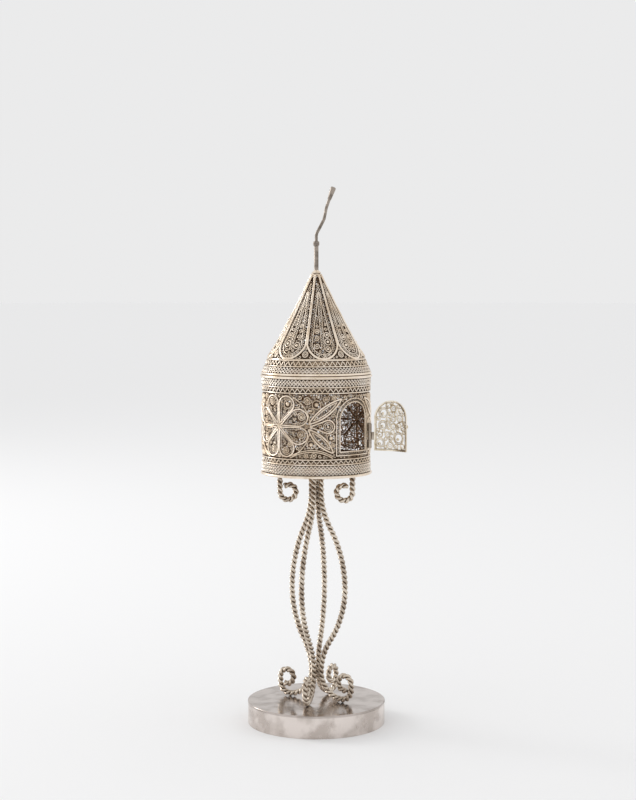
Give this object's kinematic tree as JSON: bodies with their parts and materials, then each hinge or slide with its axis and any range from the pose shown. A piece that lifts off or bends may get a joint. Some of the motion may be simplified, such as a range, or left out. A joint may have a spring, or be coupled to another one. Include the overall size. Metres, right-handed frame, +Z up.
{
  "type": "filigree spice tower",
  "caption": "Standing silver filigree spice box: round base, bowed twisted-wire legs, openwork drum with a small hinged arched door, petalled conical roof and bent finial.",
  "frame": {"origin": "middle of the base's underside", "axes": "+Z up along the tower, -Y out through the middle of the doorway"},
  "size_m": [0.0448, 0.0522, 0.1738],
  "materials": {
    "base_silver": "worn polished silver sheet, finely scratched",
    "leg_silver": "twisted silver wire, brown tarnish in the hollows",
    "drum_silver": "filigree silver wire, warm tarnish",
    "roof_silver": "filigree silver wire, warm tarnish",
    "door_silver": "filigree silver wire, brighter and yellower",
    "hinge_silver": "tarnished silver tube",
    "finial_silver": "darkened silver wire"
  },
  "bodies": {
    "tower": {"apex_cap": "finial_silver", "base_floor_plate": "base_silver", "base_rim_band": "base_silver", "base_top_plate": "base_silver", "cone_ring_wire": "roof_silver", "door_frame": "drum_silver", "drum_floor": "drum_silver", "drum_foot_wire": "drum_silver", "drum_rim_wire": "drum_silver", "drum_wall": "drum_silver", "finial_collar": "finial_silver", "finial_sleeve": "finial_silver", "finial_tip": "finial_silver", "finial_wire": "finial_silver", "hinge_pin": "hinge_silver", "jamb_knuckle_lower": "hinge_silver", "jamb_knuckle_upper": "hinge_silver", "leaf_pair_back_left": "drum_silver", "leaf_pair_back_right": "drum_silver", "leaf_pair_front_left": "drum_silver", "leaf_pair_front_right": "drum_silver", "leg_back": "leg_silver", "leg_front": "leg_silver", "leg_left": "leg_silver", "leg_right": "leg_silver", "lower_ribbed_band": "drum_silver", "lower_ring_wire": "drum_silver", "lower_zigzag": "drum_silver", "panel_foot_wire": "drum_silver", "panel_top_wire": "drum_silver", "roof_edge_wire": "roof_silver", "roof_eyelets": "roof_silver", "roof_petal_1": "roof_silver", "roof_petal_2": "roof_silver", "roof_petal_3": "roof_silver", "roof_petal_4": "roof_silver", "roof_petal_5": "roof_silver", "roof_petal_6": "roof_silver", "roof_petal_7": "roof_silver", "roof_petal_8": "roof_silver", "roof_ribbed_band": "roof_silver", "roof_shell": "roof_silver", "roof_zigzag": "roof_silver", "rosette_back": "drum_silver", "rosette_left": "drum_silver", "rosette_right": "drum_silver", "skirt_ring_wire": "roof_silver", "upper_ribbed_band": "drum_silver", "upper_ring_wire": "drum_silver", "upper_zigzag": "drum_silver"},
    "door": {"door_rim": "door_silver", "door_panel": "door_silver", "door_knuckle": "door_silver", "door_knob": "door_silver"}
  },
  "joints": [
    {"name": "door_hinge", "type": "hinge", "parent": "tower", "child": "door", "pos_m": [0.00736, -0.017, 0.0943], "axis": [0, 0, 1], "range_deg": [-103, 67]}
  ]
}
